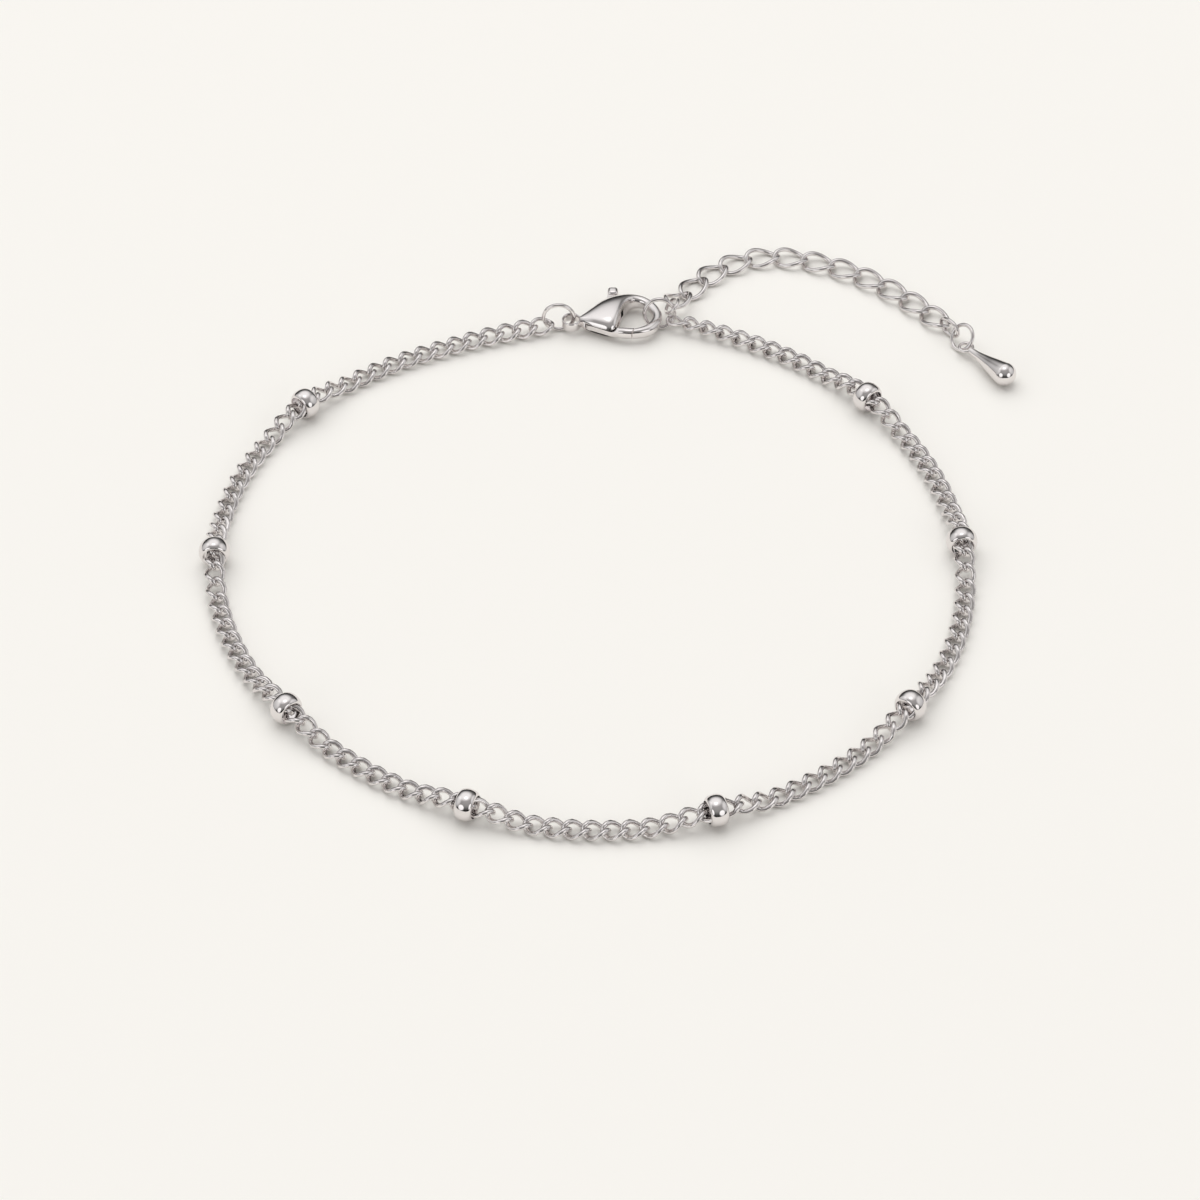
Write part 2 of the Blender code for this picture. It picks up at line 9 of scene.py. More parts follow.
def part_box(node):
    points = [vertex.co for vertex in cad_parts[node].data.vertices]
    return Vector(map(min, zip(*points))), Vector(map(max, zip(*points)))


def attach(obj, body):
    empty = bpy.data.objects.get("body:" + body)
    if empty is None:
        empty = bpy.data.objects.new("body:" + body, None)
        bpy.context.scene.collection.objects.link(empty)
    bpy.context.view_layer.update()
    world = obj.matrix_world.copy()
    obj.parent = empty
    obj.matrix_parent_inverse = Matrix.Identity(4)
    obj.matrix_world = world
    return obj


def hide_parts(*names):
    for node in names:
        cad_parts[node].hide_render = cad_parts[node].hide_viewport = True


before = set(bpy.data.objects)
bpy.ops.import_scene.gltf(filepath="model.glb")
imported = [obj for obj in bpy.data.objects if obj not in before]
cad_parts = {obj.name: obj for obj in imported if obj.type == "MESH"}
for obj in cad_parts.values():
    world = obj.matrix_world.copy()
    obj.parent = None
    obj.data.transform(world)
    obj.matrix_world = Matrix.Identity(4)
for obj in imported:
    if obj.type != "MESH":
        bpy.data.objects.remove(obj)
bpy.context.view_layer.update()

# Camera. It stands in front of the anklet, 0.4 m from the middle of the picture, and looks down at it
# at 45 degrees through a long lens, so the loop shows as a wide oval.
picture_middle = Vector((-0.001753, -0.01071, 0.0))
camera_distance = 0.4
camera_tilt = math.radians(45)
camera_direction = Vector((0, -math.cos(camera_tilt), math.sin(camera_tilt)))
camera_data = bpy.data.cameras.new("camera")
camera_data.lens = 120
camera_data.sensor_width = 36
camera_data.clip_start = 0.01
camera = bpy.data.objects.new("camera", camera_data)
bpy.context.scene.collection.objects.link(camera)
camera.location = picture_middle + camera_distance * camera_direction
camera.rotation_euler = (math.pi / 2 - camera_tilt, 0, 0)
bpy.context.scene.camera = camera
bpy.context.scene.view_settings.view_transform = "Standard"

# Floor. A wide sheet of cream card, matt and plain, which takes a soft pale shadow.
# It lies a hair below the anklet, so that the two never share a plane.
floor_half_side = 2.5
floor_drop = 0.00002
bm = bmesh.new()
bmesh.ops.create_grid(bm, x_segments=1, y_segments=1, size=floor_half_side)
bmesh.ops.translate(bm, vec=(0, 0, -floor_drop), verts=bm.verts)
floor_mesh = bpy.data.meshes.new("floor")
bm.to_mesh(floor_mesh)
bm.free()
floor = bpy.data.objects.new("floor", floor_mesh)
bpy.context.scene.collection.objects.link(floor)
cream_card = bpy.data.materials.new("cream_card")
cream_card.use_nodes = True
card_shader = cream_card.node_tree.nodes["Principled BSDF"]
card_shader.inputs["Base Color"].default_value = (0.94, 0.924, 0.886, 1)
card_shader.inputs["Roughness"].default_value = 0.9
card_shader.inputs["Specular IOR Level"].default_value = 0.05
floor_mesh.materials.append(cream_card)

# Studio light. The room is dark at floor level and grey above. A wide soft box hangs above the anklet
# and a little behind it, with a small one beside it; two stand in front and two at the sides. A large
# round lamp behind lights the floor alone, as the silver doesn't mirror it.
room_dark = (0.015, 0.013, 0.012, 1)
room_bright = (0.43, 0.42, 0.415, 1)
room_greys = [(0.12, 0.02), (0.34, 0.12), (0.62, 0.31)]
room_tint = (1.0, 0.985, 0.97)
soft_boxes = [  # direction, angle of the full light and of its faded edge in degrees, brightness
    ((-0.12, 0.42, 0.90), 14, 46, 0.68),
    ((-0.05, 0.10, 0.99), 5, 16, 0.5),
    ((-0.62, -0.70, 0.34), 14, 21, 1.1),
    ((0.62, -0.70, 0.34), 14, 21, 1.1),
    ((-0.90, 0.10, 0.42), 16, 38, 0.55),
    ((0.90, 0.10, 0.42), 16, 38, 0.55),
]
key_distance = 3
world = bpy.data.worlds.new("studio")
world.use_nodes = True
bpy.context.scene.world = world
studio = world.node_tree
studio_direction = studio.nodes.new("ShaderNodeTexCoord")
studio_parts = studio.nodes.new("ShaderNodeSeparateXYZ")
studio.links.new(studio_direction.outputs["Generated"], studio_parts.inputs[0])
room = studio.nodes.new("ShaderNodeValToRGB")
room.color_ramp.elements[0].position = 0.0
room.color_ramp.elements[0].color = room_dark
room.color_ramp.elements[1].position = 1.0
room.color_ramp.elements[1].color = room_bright
for height, grey in room_greys:
    step = room.color_ramp.elements.new(height)
    step.color = (*(grey * tint for tint in room_tint), 1)
studio.links.new(studio_parts.outputs["Z"], room.inputs["Fac"])
studio_light = room.outputs["Color"]
for towards, inner_deg, outer_deg, brightness in soft_boxes:
    facing = studio.nodes.new("ShaderNodeVectorMath")
    facing.operation = "DOT_PRODUCT"
    facing.inputs[1].default_value = Vector(towards).normalized()
    studio.links.new(studio_direction.outputs["Generated"], facing.inputs[0])
    edge = studio.nodes.new("ShaderNodeMapRange")
    edge.interpolation_type = "SMOOTHSTEP"
    edge.inputs["From Min"].default_value = math.cos(math.radians(outer_deg))
    edge.inputs["From Max"].default_value = math.cos(math.radians(inner_deg))
    edge.inputs["To Max"].default_value = brightness
    studio.links.new(facing.outputs["Value"], edge.inputs["Value"])
    adding = studio.nodes.new("ShaderNodeVectorMath")
    adding.operation = "ADD"
    studio.links.new(studio_light, adding.inputs[0])
    studio.links.new(edge.outputs["Result"], adding.inputs[1])
    studio_light = adding.outputs["Vector"]
background = studio.nodes["Background"]
studio.links.new(studio_light, background.inputs["Color"])
background.inputs["Strength"].default_value = 1.0
key_data = bpy.data.lights.new("key_light", "AREA")
key_data.shape = "DISK"
key_data.size = 5.0
key_data.energy = 55.5
key_data.color = (1.0, 0.99, 0.975)
key_light = bpy.data.objects.new("key_light", key_data)
bpy.context.scene.collection.objects.link(key_light)
key_direction = Vector((-0.15, 0.5, 0.85)).normalized()
key_light.location = key_distance * key_direction
key_light.rotation_euler = key_direction.to_track_quat("Z", "Y").to_euler()
key_light.visible_glossy = False


# Fine chain. Round silver wire of about half a millimetre is bent to oval links, each twisted so that
# its two ends turn opposite ways, and soldered shut. The chain lies on the floor between the beads,
# leaning a little to the front, and rises to pass through each of them.
chain_route = [  # each place on the floor, and the direction in which the chain runs there in degrees
    (-0.0048, 0.0409, -166),
    (-0.0308, 0.0275, -132),
    (-0.0388, 0.0053, -89),
    (-0.0304, -0.0164, -50),
    (-0.0126, -0.0290, -21),
    (0.0110, -0.0297, 18.5),
    (0.0301, -0.0160, 53),
    (0.0365, 0.0068, 95),
    (0.0280, 0.0285, 129.5),
    (0.0070, 0.0415, 165),
]
route_handle = 0.35
fine_length = 0.0030
fine_width = 0.00228
fine_wire = 0.00054
fine_twist = -64
fine_pitch = 0.00185
fine_lean = 4
fine_wire_sides = 8
fine_corners = 20
bead_radius = 0.0016
bead_width = 0.0018
bead_clearance = 0.0003
climb_length = 0.0055
end_links_held = [  # how the jump rings hold up the chain's first and last link
    {"z": 0.0009, "dip": -4, "roll": -29},
    {"z": 0.00092, "dip": 9, "roll": 27},
]
settling_links = 6
silver = (0.80, 0.766, 0.76)
bright_share = 1.06
cloud_scale = 420
cloud_from, cloud_to = 0.3, 0.7
polish_from, polish_to = 0.7, 1.4
mark_stretch = (1, 5, 1)
mark_turn = (0.4, 0.2, 0.7)


def polished_silver(name, roughness, mottle, mark_depth, mark_scale):
    """Plated silver: almost a mirror, a little cloudy in places, with faint marks from handling."""
    material = bpy.data.materials.new(name)
    material.use_nodes = True
    tree = material.node_tree
    shader = tree.nodes["Principled BSDF"]
    shader.inputs["Metallic"].default_value = 1.0
    place = tree.nodes.new("ShaderNodeTexCoord")

    cloud = tree.nodes.new("ShaderNodeTexNoise")
    cloud.inputs["Scale"].default_value = cloud_scale
    cloud.inputs["Detail"].default_value = 3
    tree.links.new(place.outputs["Object"], cloud.inputs["Vector"])

    tint = tree.nodes.new("ShaderNodeMix")
    tint.data_type = "RGBA"
    tint.inputs["A"].default_value = (*(channel * (1 - mottle) for channel in silver), 1)
    tint.inputs["B"].default_value = (*(channel * bright_share for channel in silver), 1)
    tree.links.new(cloud.outputs["Fac"], tint.inputs["Factor"])
    tree.links.new(tint.outputs["Result"], shader.inputs["Base Color"])

    polish = tree.nodes.new("ShaderNodeMapRange")
    polish.inputs["From Min"].default_value = cloud_from
    polish.inputs["From Max"].default_value = cloud_to
    polish.inputs["To Min"].default_value = roughness * polish_from
    polish.inputs["To Max"].default_value = roughness * polish_to
    tree.links.new(cloud.outputs["Fac"], polish.inputs["Value"])
    tree.links.new(polish.outputs["Result"], shader.inputs["Roughness"])

    stretch = tree.nodes.new("ShaderNodeMapping")
    stretch.inputs["Scale"].default_value = mark_stretch
    stretch.inputs["Rotation"].default_value = mark_turn
    tree.links.new(place.outputs["Object"], stretch.inputs["Vector"])
    marks = tree.nodes.new("ShaderNodeTexNoise")
    marks.inputs["Scale"].default_value = mark_scale
    marks.inputs["Detail"].default_value = 5
    marks.inputs["Roughness"].default_value = 0.65
    tree.links.new(stretch.outputs["Vector"], marks.inputs["Vector"])
    relief = tree.nodes.new("ShaderNodeBump")
    relief.inputs["Strength"].default_value = 0.3
    relief.inputs["Distance"].default_value = mark_depth
    tree.links.new(marks.outputs["Fac"], relief.inputs["Height"])
    tree.links.new(relief.outputs["Normal"], shader.inputs["Normal"])
    return material


def stretch_of_route(start, end, samples=60):
    """Points of a smooth curve over the floor from one place of a route to the next."""
    a = Vector((start[0], start[1], 0))
    b = Vector((end[0], end[1], 0))
    reach = (b - a).length * route_handle
    leave = Vector((math.cos(math.radians(start[2])), math.sin(math.radians(start[2])), 0))
    arrive = Vector((math.cos(math.radians(end[2])), math.sin(math.radians(end[2])), 0))
    return interpolate_bezier(a, a + leave * reach, b - arrive * reach, b, samples)


def length_of(points):
    """The length of a line through points."""
    return sum((b - a).length for a, b in zip(points, points[1:]))


def whole_route(route):
    """All the points of a route, and how far along it each of its places comes."""
    points = []
    distances = [0.0]
    for start, end in zip(route, route[1:]):
        stretch = stretch_of_route(start, end)
        distances.append(distances[-1] + length_of(stretch))
        points += stretch[len(points) > 0:]
    return points, distances


def point_at(points, distance):
    """The point at a distance along the route, and the heading there in degrees."""
    for a, b in zip(points, points[1:]):
        step = (b - a).length
        if distance <= step or b is points[-1]:
            ahead = b - a
            return a + ahead * (distance / step), math.degrees(math.atan2(ahead.y, ahead.x))
        distance -= step


def wire_link(length, width, wire, twist, wire_sides, corners):
    """A ring of round wire, pulled out to an oval and then twisted about its length."""
    bm = bmesh.new()
    middle_radius = (length + width - 2 * wire) / 4
    bmesh.ops.create_circle(bm, segments=wire_sides, radius=wire / 2)
    bmesh.ops.rotate(bm, cent=(0, 0, 0), matrix=Matrix.Rotation(math.pi / 2, 3, "X"), verts=bm.verts)
    bmesh.ops.translate(bm, vec=(middle_radius, 0, 0), verts=bm.verts)
    bmesh.ops.spin(bm, geom=bm.verts[:] + bm.edges[:], cent=(0, 0, 0), axis=(0, 0, 1), angle=math.tau,
                   steps=corners, use_merge=True)
    pull_x = (length - wire) / 2 - middle_radius
    pull_y = (width - wire) / 2 - middle_radius
    for vert in bm.verts:
        outwards = Vector((vert.co.x, vert.co.y, 0)).normalized()
        vert.co += Vector((outwards.x * pull_x, outwards.y * pull_y, 0))
        vert.co.rotate(Euler((math.radians(twist) * outwards.x, 0, 0)))
    bmesh.ops.recalc_face_normals(bm, faces=bm.faces)
    mesh = bpy.data.meshes.new("link")
    bm.to_mesh(mesh)
    bm.free()
    return mesh


def lie(place, heading, dip, roll):
    """Where a loose piece lies: rolled about its length, its front end raised, turned to its heading."""
    turn = Euler((math.radians(roll), math.radians(-dip), math.radians(heading)))
    return Matrix.Translation(place) @ turn.to_matrix().to_4x4()


def finished_piece(name, mesh, material, body, node):
    """A smooth piece of the anklet that stands for its CAD node."""
    mesh.shade_smooth()
    mesh.materials.clear()
    mesh.materials.append(material)
    piece = bpy.data.objects.new(name, mesh)
    bpy.context.scene.collection.objects.link(piece)
    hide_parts(node)
    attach(piece, body)


chain_points, chain_places = whole_route(chain_route)
first_bead_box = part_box("bead_1")
first_bead_middle = (Vector(first_bead_box[0]) + Vector(first_bead_box[1])) / 2
shift = Vector((first_bead_middle.x - chain_route[1][0], first_bead_middle.y - chain_route[1][1], 0))
fine_link = wire_link(fine_length, fine_width, fine_wire, fine_twist, fine_wire_sides, fine_corners)
fine_steps = round((chain_places[-1] - fine_length) / fine_pitch)


def climb(distance):
    """How far the chain has climbed from the floor towards the middle of the nearest bead, 0 to 1."""
    to_bead = min(abs(distance - place) for place in chain_places[1:-1])
    share = min(1.0, max(0.0, (to_bead - bead_width / 2 - bead_clearance) / climb_length))
    return (1 + math.cos(math.pi * share)) / 2


def lowest_of_link(heading, dip, roll):
    """How far below its middle a fine link reaches as it lies."""
    turned = lie(Vector(), heading, dip, roll)
    return min((turned @ vert.co).z for vert in fine_link.vertices)


def fine_link_place(number):
    """The place of one link: the end links are held up by their rings, and the next few settle down."""
    distance = fine_length / 2 + (chain_places[-1] - fine_length) * number / fine_steps
    place, heading = point_at(chain_points, distance)
    held = end_links_held[0 if number < fine_steps / 2 else 1]
    share = max(0.0, 1 - min(number, fine_steps - number) / settling_links)
    ease = share * share * (3 - 2 * share)
    lean = fine_lean * math.cos(math.radians(heading))
    roll = lean + (held["roll"] - lean) * ease
    lying = -lowest_of_link(heading, 0, roll)
    slope = (climb(distance + fine_wire) - climb(distance - fine_wire)) / (2 * fine_wire)
    dip = math.degrees(math.atan(slope * (bead_radius - lying)))
    height = lying + (bead_radius - lying) * climb(distance)
    dip += (held["dip"] - dip) * ease
    place.z = height + (held["z"] - height) * ease
    if 0 < number < fine_steps:
        place.z = max(place.z, -lowest_of_link(heading, dip, roll))
    return lie(shift + place, heading, dip, roll)


bm = bmesh.new()
for number in range(1, fine_steps):
    bm.from_mesh(fine_link)
    bm.verts.ensure_lookup_table()
    new_verts = bm.verts[-len(fine_link.vertices):]
    bmesh.ops.transform(bm, matrix=fine_link_place(number), verts=new_verts)
fine_chain_mesh = bpy.data.meshes.new("fine_chain")
bm.to_mesh(fine_chain_mesh)
bm.free()
chain_silver = polished_silver("chain_silver", 0.07, 0.2, 0.000006, 2600)
finished_piece("fine_chain", fine_chain_mesh, chain_silver, "anklet", "chain")

# End links. The first and last links of the fine chain are of the same wire, a little slimmer,
# and each hangs on a jump ring beside the clasp.
end_link_length = 0.0029
end_link_width = 0.00215
end_link_wire = 0.00044
end_link_twist = -45
end_link_wire_sides = 12
end_link_corners = 32
for node, number in (("chain_link_left", 0), ("chain_link_right", fine_steps)):
    end_mesh = wire_link(end_link_length, end_link_width, end_link_wire, end_link_twist,
                         end_link_wire_sides, end_link_corners)
    end_mesh.transform(fine_link_place(number))
    finished_piece("silver_" + node, end_mesh, chain_silver, "anklet", node)

# Beads. Each is a short ring turned from silver, round on its outside and bored for the chain,
# slid on before the chain is closed and polished bright.
bead_bore = 0.00115
bead_arc_steps = 16
bead_corners = 56
bead_sharp_deg = 50


def turned(bm, points, axis, corners, closed=True):
    """A shape turned on a lathe: the points of its profile, spun about an axis through the origin."""
    profile = [bm.verts.new(point) for point in points]
    ahead = profile[1:] + profile[:1] if closed else profile[1:]
    edges = [bm.edges.new(pair) for pair in zip(profile, ahead)]
    bmesh.ops.spin(bm, geom=profile + edges, cent=(0, 0, 0), axis=axis, angle=math.tau,
                   steps=corners, use_merge=True)


bead_silver = polished_silver("bead_silver", 0.06, 0.08, 0.000006, 1800)
bead_profile = []
for step in range(bead_arc_steps + 1):
    angle = math.pi * step / bead_arc_steps
    across = -bead_width / 2 * math.cos(angle)
    bead_profile.append((across, 0, bead_bore + (bead_radius - bead_bore) * math.sin(angle)))
for number, (x, y, heading) in enumerate(chain_route[1:-1], start=1):
    bm = bmesh.new()
    turned(bm, bead_profile, (1, 0, 0), bead_corners)
    bmesh.ops.recalc_face_normals(bm, faces=bm.faces)
    bead_mesh = bpy.data.meshes.new("silver_bead")
    bm.to_mesh(bead_mesh)
    bm.free()
    bead_mesh.transform(lie(shift + Vector((x, y, bead_radius)), heading, 0, 0))
    finished_piece(f"silver_bead_{number}", bead_mesh, bead_silver, "anklet",
                   f"bead_{number}")
    bead_mesh.set_sharp_from_angle(angle=math.radians(bead_sharp_deg))

# Clasp body. A small lobster clasp cast in silver: a domed teardrop shell that runs on into the round
# hook, with an upright eye at its tail, and a sawn slot in which the lever turns on a fixed pin.
clasp_place = shift + Vector((-0.00305, 0.04095, 0.0))
clasp_length = 0.00975
clasp_width = 0.0065
clasp_thickness = 0.00245
clasp_middle_z = 0.0011
clasp_squareness = 2.4
clasp_crown = 1.2
body_sections = [  # from tail to tip: inner end, outer end and thickness, as shares of the clasp's size
    (0.090, -0.046, 0.090, 0.058, 0.45),
    (0.138, -0.100, 0.149, 0.146, 0.61),
    (0.221, -0.177, 0.236, 0.292, 0.80),
    (0.318, -0.246, 0.338, 0.454, 0.94),
    (0.415, -0.292, 0.451, 0.562, 1.00),
    (0.484, -0.238, 0.544, 0.612, 0.96),
    (0.513, -0.046, 0.610, 0.626, 0.86),
    (0.538, 0.138, 0.667, 0.625, 0.75),
    (0.579, 0.292, 0.718, 0.612, 0.65),
    (0.636, 0.392, 0.769, 0.588, 0.57),
    (0.718, 0.423, 0.831, 0.538, 0.51),
    (0.795, 0.377, 0.903, 0.446, 0.45),
    (0.856, 0.269, 0.964, 0.308, 0.42),
    (0.886, 0.131, 1.000, 0.131, 0.41),
    (0.869, -0.008, 0.979, -0.046, 0.42),
    (0.815, -0.123, 0.918, -0.223, 0.45),
    (0.754, -0.192, 0.815, -0.323, 0.47),
    (0.713, -0.223, 0.667, -0.366, 0.45),
]
slot_corners = [
    (0.138, -0.50), (0.636, -0.50), (0.636, 0.06), (0.544, 0.34), (0.544, 0.80), (0.138, 0.80),
]
section_steps = 4
section_sides = 40
pivot = Vector((0.0021, -0.00035, 0))
pin_radius = 0.00035
pin_corners = 48
lever_thickness = 0.0006
slot_height = 0.0009
eye_radius = 0.00105
eye_wall = 0.00025
eye_height = 0.0011
eye_edge = 0.36
eye_crown = 0.14
eye_crown_power = 0.8
eye_crown_steps = 6
eye_corners = 56
clasp_sharp_deg = 35


def on_clasp(x_share, y_share):
    """A place on the clasp's middle plane."""
    return Vector((x_share * clasp_length, y_share * clasp_width, clasp_middle_z))


def smooth_rows(rows, steps):
    """The same rows with others between them, on a smooth curve through all of them."""
    finer = []
    for index in range(len(rows) - 1):
        before = rows[max(index - 1, 0)]
        start, end = rows[index], rows[index + 1]
        after = rows[min(index + 2, len(rows) - 1)]
        for step in range(steps):
            t = step / steps
            finer.append([
                b + 0.5 * t * ((c - a) + t * ((2 * a - 5 * b + 4 * c - d) + t * (3 * (b - c) + d - a)))
                for a, b, c, d in zip(before, start, end, after)
            ])
    return finer + [list(rows[-1])]


def bar_along(bm, sections, sides):
    """A closed bar through flattened round sections."""
    rings = []
    for in_x, in_y, out_x, out_y, thick in sections:
        inner, outer = on_clasp(in_x, in_y), on_clasp(out_x, out_y)
        across = (outer - inner) / 2
        up = Vector((0, 0, thick * clasp_thickness / 2))
        ring = bmesh.ops.create_circle(bm, segments=sides, radius=1)["verts"]
        for vert in ring:
            a = math.copysign(abs(vert.co.x) ** (2 / clasp_squareness), vert.co.x)
            b = math.copysign(abs(vert.co.y) ** (2 / clasp_squareness), vert.co.y)
            vert.co = (inner + outer) / 2 + across * a + up * b * (clasp_crown if b > 0 else 1)
        rings.append(list({edge for vert in ring for edge in vert.link_edges}))
    for first, second in zip(rings, rings[1:]):
        bmesh.ops.bridge_loops(bm, edges=first + second)
    for ring in (rings[0], rings[-1]):
        bmesh.ops.contextual_create(bm, geom=ring)


def raw_object(name, bm):
    """An object of one shape, to be joined to others or cut from them."""
    bmesh.ops.recalc_face_normals(bm, faces=bm.faces)
    mesh = bpy.data.meshes.new(name)
    bm.to_mesh(mesh)
    bm.free()
    obj = bpy.data.objects.new(name, mesh)
    bpy.context.scene.collection.objects.link(obj)
    return obj


def upright_pin(name, radius, height):
    """A round pin through the lever's pivot."""
    bm = bmesh.new()
    bmesh.ops.create_cone(bm, cap_ends=True, segments=pin_corners, radius1=radius, radius2=radius,
                          depth=height)
    bmesh.ops.translate(bm, vec=pivot + Vector((0, 0, clasp_middle_z)), verts=bm.verts)
    return raw_object(name, bm)


def flat_plate(name, corners, height):
    """A flat plate with upright sides, half above and half below its corners."""
    bm = bmesh.new()
    under = bm.faces.new([bm.verts.new(corner - Vector((0, 0, height / 2))) for corner in corners])
    extruded = bmesh.ops.extrude_face_region(bm, geom=[under])["geom"]
    top = [item for item in extruded if isinstance(item, bmesh.types.BMVert)]
    bmesh.ops.translate(bm, vec=(0, 0, height), verts=top)
    return raw_object(name, bm)


def joined(obj, *steps):
    """The mesh that is left when other shapes have been added to or cut from an object."""
    for operation, tool in steps:
        modifier = obj.modifiers.new(tool.name, "BOOLEAN")
        modifier.operation = operation
        modifier.object = tool
        modifier.solver = "EXACT"
    mesh = bpy.data.meshes.new_from_object(obj.evaluated_get(bpy.context.evaluated_depsgraph_get()))
    for used in [obj] + [tool for _, tool in steps]:
        bpy.data.objects.remove(used, do_unlink=True)
    return mesh


bm = bmesh.new()
bar_along(bm, smooth_rows(body_sections, section_steps), section_sides)
bmesh.ops.recalc_face_normals(bm, faces=bm.faces)
bmesh.ops.bisect_plane(bm, geom=bm.verts[:] + bm.edges[:] + bm.faces[:], plane_co=(0, 0, 0),
                       plane_no=(0, 0, -1), clear_outer=True)
bmesh.ops.holes_fill(bm, edges=[edge for edge in bm.edges if edge.is_boundary])
shell = raw_object("shell", bm)

eye_profile = []
for side in (-1, 1):
    for step in range(eye_crown_steps + 1):
        share = step / eye_crown_steps if side < 0 else 1 - step / eye_crown_steps
        crown = eye_edge + eye_crown * math.sin(math.pi * share) ** eye_crown_power
        radius = eye_radius - eye_wall * (1 - share)
        eye_profile.append((radius, 0, clasp_middle_z + side * crown * eye_height))
bm = bmesh.new()
turned(bm, eye_profile, (0, 0, 1), eye_corners)
eye = raw_object("eye", bm)

slot_tool = flat_plate("slot_tool", [on_clasp(x, y) for x, y in slot_corners], slot_height)
slot_mesh = joined(slot_tool, ("DIFFERENCE", upright_pin("pin", pin_radius, 2 * slot_height)))
slot_round_pin = bpy.data.objects.new("slot_round_pin", slot_mesh)
bpy.context.scene.collection.objects.link(slot_round_pin)

body_mesh = joined(shell, ("UNION", eye), ("DIFFERENCE", slot_round_pin))
body_mesh.transform(Matrix.Translation(clasp_place))
clasp_silver = polished_silver("clasp_silver", 0.08, 0.07, 0.000012, 1100)
finished_piece("silver_clasp_body", body_mesh, clasp_silver, "anklet", "clasp_body")
body_mesh.set_sharp_from_angle(angle=math.radians(clasp_sharp_deg))

# Clasp lever. A flat stamped lever turns on the pin inside the slot. Its gate arm closes the hook
# at a slanting seam, and its thumb tab stands out of the shell's back to be pressed.
gate_sections = [  # from the arm to the seam, in the same shares as the body's sections
    (0.523, -0.190, 0.515, -0.338, 0.40),
    (0.574, -0.208, 0.569, -0.354, 0.45),
    (0.636, -0.217, 0.615, -0.362, 0.45),
    (0.7, -0.2215, 0.6535, -0.3645, 0.45),
]
lever_corners = [
    (0.313, -0.222), (0.420, -0.297), (0.545, -0.337), (0.545, -0.210), (0.440, -0.162),
    (0.338, -0.046), (0.318, 0.077), (0.451, 0.462), (0.497, 0.570), (0.497, 0.720),
    (0.405, 0.720), (0.385, 0.540),
]
hub_radius = 0.00065
hub_start_deg = 120
hub_turn_deg = 150
hub_steps = 12
tab_size = (0.0012, 0.0012, 0.0012)
tab_rounding = 0.0004
tab_rounding_steps = 6
tab_place = (0.455, 0.722)
pin_gap = 0.0001
outline = []
for step in range(hub_steps + 1):
    angle = math.radians(hub_start_deg + hub_turn_deg * step / hub_steps)
    outline.append(pivot + Vector((math.cos(angle), math.sin(angle), 0)) * hub_radius)
    outline[-1].z = clasp_middle_z
outline += [on_clasp(x, y) for x, y in lever_corners]
lever_plate = flat_plate("lever_plate", outline, lever_thickness)

bm = bmesh.new()
bar_along(bm, smooth_rows(gate_sections, section_steps), section_sides)
gate = raw_object("gate", bm)

bm = bmesh.new()
bmesh.ops.create_cube(bm, size=1)
bmesh.ops.scale(bm, vec=tab_size, verts=bm.verts)
bmesh.ops.bevel(bm, geom=bm.edges[:], offset=tab_rounding, segments=tab_rounding_steps, profile=0.5,
                affect="EDGES", material=-1)
bmesh.ops.translate(bm, vec=on_clasp(*tab_place), verts=bm.verts)
tab = raw_object("tab", bm)

lever_bore = upright_pin("lever_bore", pin_radius + pin_gap, 2 * lever_thickness)
lever_mesh = joined(lever_plate, ("UNION", gate), ("UNION", tab), ("DIFFERENCE", lever_bore))
lever_mesh.transform(Matrix.Translation(clasp_place))
finished_piece("silver_clasp_lever", lever_mesh, clasp_silver, "lever", "clasp_lever")
lever_mesh.set_sharp_from_angle(angle=math.radians(clasp_sharp_deg))

# Jump rings. Rings of thin round silver wire join the clasp, the chain's end and the extender,
# and another pair carries the drop at the extender's far end. Each is bent shut.
ring_wire = 0.00042
ring_wire_sides = 12
ring_corners = 48
jump_rings = [  # node, length, width, middle, heading, dip and roll in degrees
    ("clasp_ring", 0.00366, 0.00366, (-0.00442, 0.04095, 0.00182), 0, 0, 87),
    ("end_ring", 0.00366, 0.00366, (0.00636, 0.04161, 0.00175), 0, 0, 70),
    ("connector_ring", 0.00306, 0.00226, (0.00773, 0.0426, 0.002), 100, -25, 136),
    ("tail_ring", 0.00326, 0.00236, (0.03736, 0.03998, 0.0012), -54, 14, 93),
    ("drop_ring", 0.00316, 0.00316, (0.03859, 0.03825, 0.00131), -42, 16.5, 51),
]
ring_silver = polished_silver("ring_silver", 0.07, 0.16, 0.000006, 2200)
for node, length, width, place, heading, dip, roll in jump_rings:
    ring_mesh = wire_link(length, width, ring_wire, 0, ring_wire_sides, ring_corners)
    ring_mesh.transform(lie(shift + Vector(place), heading, dip, roll))
    finished_piece("silver_" + node, ring_mesh, ring_silver, "anklet", node)

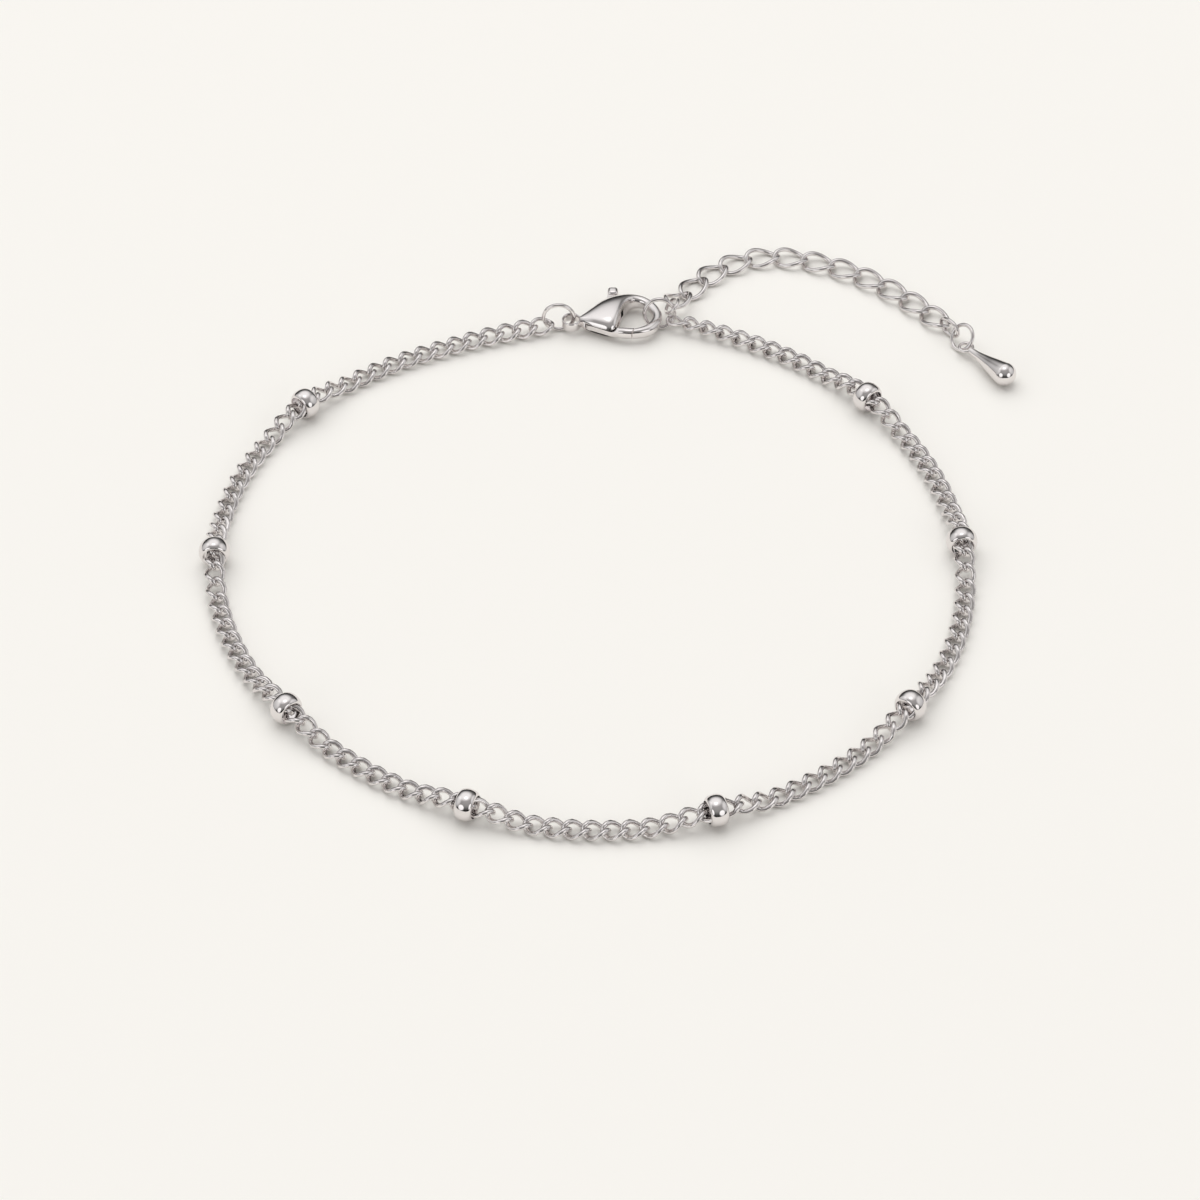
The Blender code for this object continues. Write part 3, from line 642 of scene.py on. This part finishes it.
# Extender. Twelve wide open links of round wire, each given a slight twist, so the clasp can be
# hooked in anywhere along it. They lie on the floor, but for the first, which hangs on its ring.
extender_route = [
    (0.0073, 0.0430, 60),
    (0.0156, 0.0517, 22),
    (0.0240, 0.0513, -20),
    (0.0372, 0.0408, -49),
]
extender_links = 12
extender_length = 0.0041
extender_width = 0.0030
extender_wire = 0.00050
extender_twist = -30
extender_pitch = 0.0031
extender_wire_sides = 12
extender_corners = 40
first_link_pose = (0.00114, -18, -4.5)  # height of its middle, dip and roll
extender_points = whole_route(extender_route)[0]
for number in range(extender_links):
    node = f"extender_link_{number + 1:02d}"
    link_mesh = wire_link(extender_length, extender_width, extender_wire, extender_twist,
                          extender_wire_sides, extender_corners)
    lying = -min(vert.co.z for vert in link_mesh.vertices)
    place, heading = point_at(extender_points, extender_length / 2 + extender_pitch * number)
    place.z, dip, roll = first_link_pose if number == 0 else (lying, 0, 0)
    link_mesh.transform(lie(shift + place, heading, dip, roll))
    finished_piece("silver_" + node, link_mesh, chain_silver, "anklet", node)

# Drop. A small solid teardrop with an eye at its thin end, turned and polished to a mirror,
# which keeps the end of the extender hanging straight.
drop_length = 0.0082
drop_radius = 0.00128
drop_eye_length = 0.0018
drop_eye_wire = 0.00036
drop_sections = [  # how far from neck to bulb, and the radius there as a share of the bulb's
    (0.0, 0.30), (0.2, 0.36), (0.45, 0.55), (0.7, 0.78), (0.9, 0.94), (1.0, 1.0),
]
drop_section_steps = 5
drop_cap_steps = 14
drop_corners = 48
drop_eye_wire_sides = 16
drop_place = Vector((0.03895, 0.03715, 0.00085))
drop_heading = -52
drop_dip = 4.5
same_point = 0.000001
drop_eye_radius = (drop_eye_length - drop_eye_wire) / 2
bulb_x = drop_length - drop_eye_length / 2 - drop_radius
drop_profile = [(drop_eye_radius, 0, 0.0)]
for along, radius in smooth_rows(drop_sections, drop_section_steps):
    x = drop_eye_radius + (bulb_x - drop_eye_radius) * along
    drop_profile.append((x, 0, drop_radius * min(radius, 1.0)))
for step in range(1, drop_cap_steps + 1):
    angle = math.pi / 2 * step / drop_cap_steps
    drop_profile.append((bulb_x + drop_radius * math.sin(angle), 0, drop_radius * math.cos(angle)))
bm = bmesh.new()
turned(bm, drop_profile, (1, 0, 0), drop_corners, closed=False)
bmesh.ops.remove_doubles(bm, verts=bm.verts, dist=same_point)
teardrop = raw_object("teardrop", bm)
eye_ring_mesh = wire_link(drop_eye_length, drop_eye_length, drop_eye_wire, 0, drop_eye_wire_sides,
                          drop_corners)
eye_ring = bpy.data.objects.new("eye_ring", eye_ring_mesh)
bpy.context.scene.collection.objects.link(eye_ring)
drop_mesh = joined(teardrop, ("UNION", eye_ring))
drop_mesh.transform(lie(shift + drop_place, drop_heading, drop_dip, 0))
drop_silver = polished_silver("drop_silver", 0.045, 0.06, 0.000005, 1500)
finished_piece("silver_drop", drop_mesh, drop_silver, "anklet", "drop")
drop_mesh.set_sharp_from_angle(angle=math.radians(clasp_sharp_deg))
